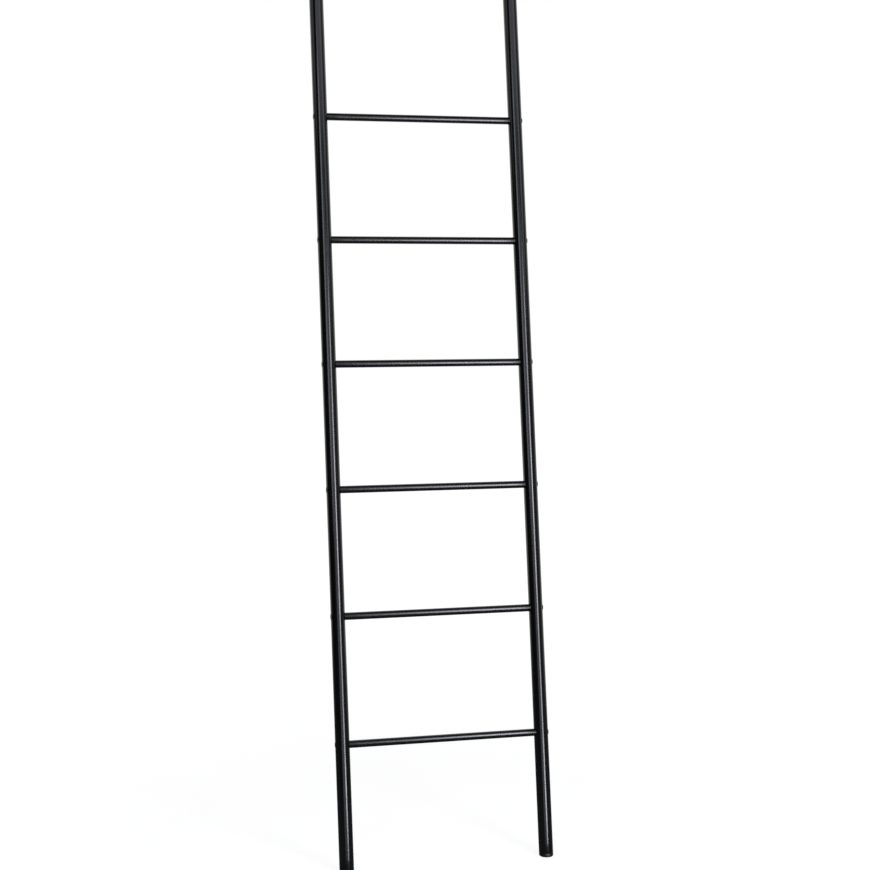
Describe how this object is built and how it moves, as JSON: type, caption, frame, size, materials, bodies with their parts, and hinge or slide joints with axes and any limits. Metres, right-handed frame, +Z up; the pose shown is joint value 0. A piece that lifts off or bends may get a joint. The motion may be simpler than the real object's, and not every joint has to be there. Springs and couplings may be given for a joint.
{
  "type": "blanket ladder",
  "caption": "Leaning blanket ladder: two round black steel rails joined by evenly spaced thin round rungs, bolted on with countersunk screws, with soft capped tops and angled feet.",
  "frame": {"origin": "on the floor, under the middle of the ladder's whole width and depth as it stands leaning", "axes": "+Z up, +X to the right seen from the front, +Y towards the wall that the ladder leans on"},
  "size_m": [0.387, 0.2727, 1.56],
  "materials": {
    "rail_coating": "satin black powder coat on steel tube",
    "rung_coating": "satin black powder coat on steel tube",
    "screw_black_oxide": "black oxide on steel, slightly glossier than the tubes",
    "plug_plastic": "moulded black polyethylene, satin",
    "cap_vinyl": "dip-moulded black vinyl, soft satin"
  },
  "bodies": {
    "root": {"left_rail": "rail_coating", "right_rail": "rail_coating", "feet": "plug_plastic", "top_caps": "cap_vinyl", "rung_1": "rung_coating", "screws_1": "screw_black_oxide", "rung_2": "rung_coating", "screws_2": "screw_black_oxide", "rung_3": "rung_coating", "screws_3": "screw_black_oxide", "rung_4": "rung_coating", "screws_4": "screw_black_oxide", "rung_5": "rung_coating", "screws_5": "screw_black_oxide", "rung_6": "rung_coating", "screws_6": "screw_black_oxide"}
  },
  "joints": []
}
